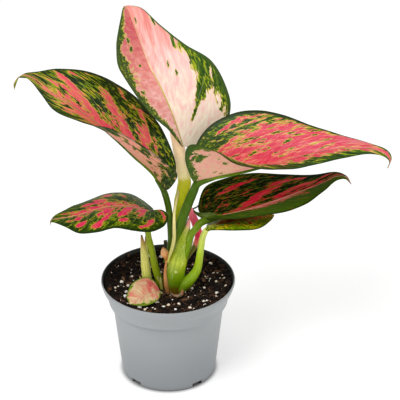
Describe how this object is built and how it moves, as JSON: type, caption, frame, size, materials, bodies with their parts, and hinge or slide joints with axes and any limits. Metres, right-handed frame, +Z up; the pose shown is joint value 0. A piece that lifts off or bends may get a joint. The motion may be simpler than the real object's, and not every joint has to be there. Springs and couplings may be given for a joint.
{
  "type": "potted chinese evergreen",
  "caption": "Leafy house plant with broad pink and green blades on long stalks, growing from peat soil in a tapered plastic nursery pot with a flared rim.",
  "frame": {"origin": "middle of the pot's foot, on the surface it stands on", "axes": "+Z up along the pot's axis, +X towards the long right leaf, +Y away from the side the top leaf faces"},
  "size_m": [0.3129, 0.12, 0.3422],
  "materials": {
    "pot_plastic": "satin",
    "peat_soil": "matte",
    "green_stem": "satin",
    "pale_leaf": "satin",
    "coral_leaf": "satin",
    "dark_leaf": "satin",
    "young_leaf": "satin",
    "dry_sheath": "matte"
  },
  "bodies": {
    "root": {"pot": "pot_plastic", "soil": "peat_soil", "main_stem": "green_stem", "leaf_top": "pale_leaf", "leaf_left": "coral_leaf", "leaf_right": "coral_leaf", "leaf_lower_right": "dark_leaf", "leaf_under_right": "dark_leaf", "leaf_lower_left": "coral_leaf", "leaf_small": "pale_leaf", "leaf_young": "young_leaf", "side_shoot": "green_stem", "dry_scale": "dry_sheath", "back_stub": "green_stem"}
  },
  "joints": []
}
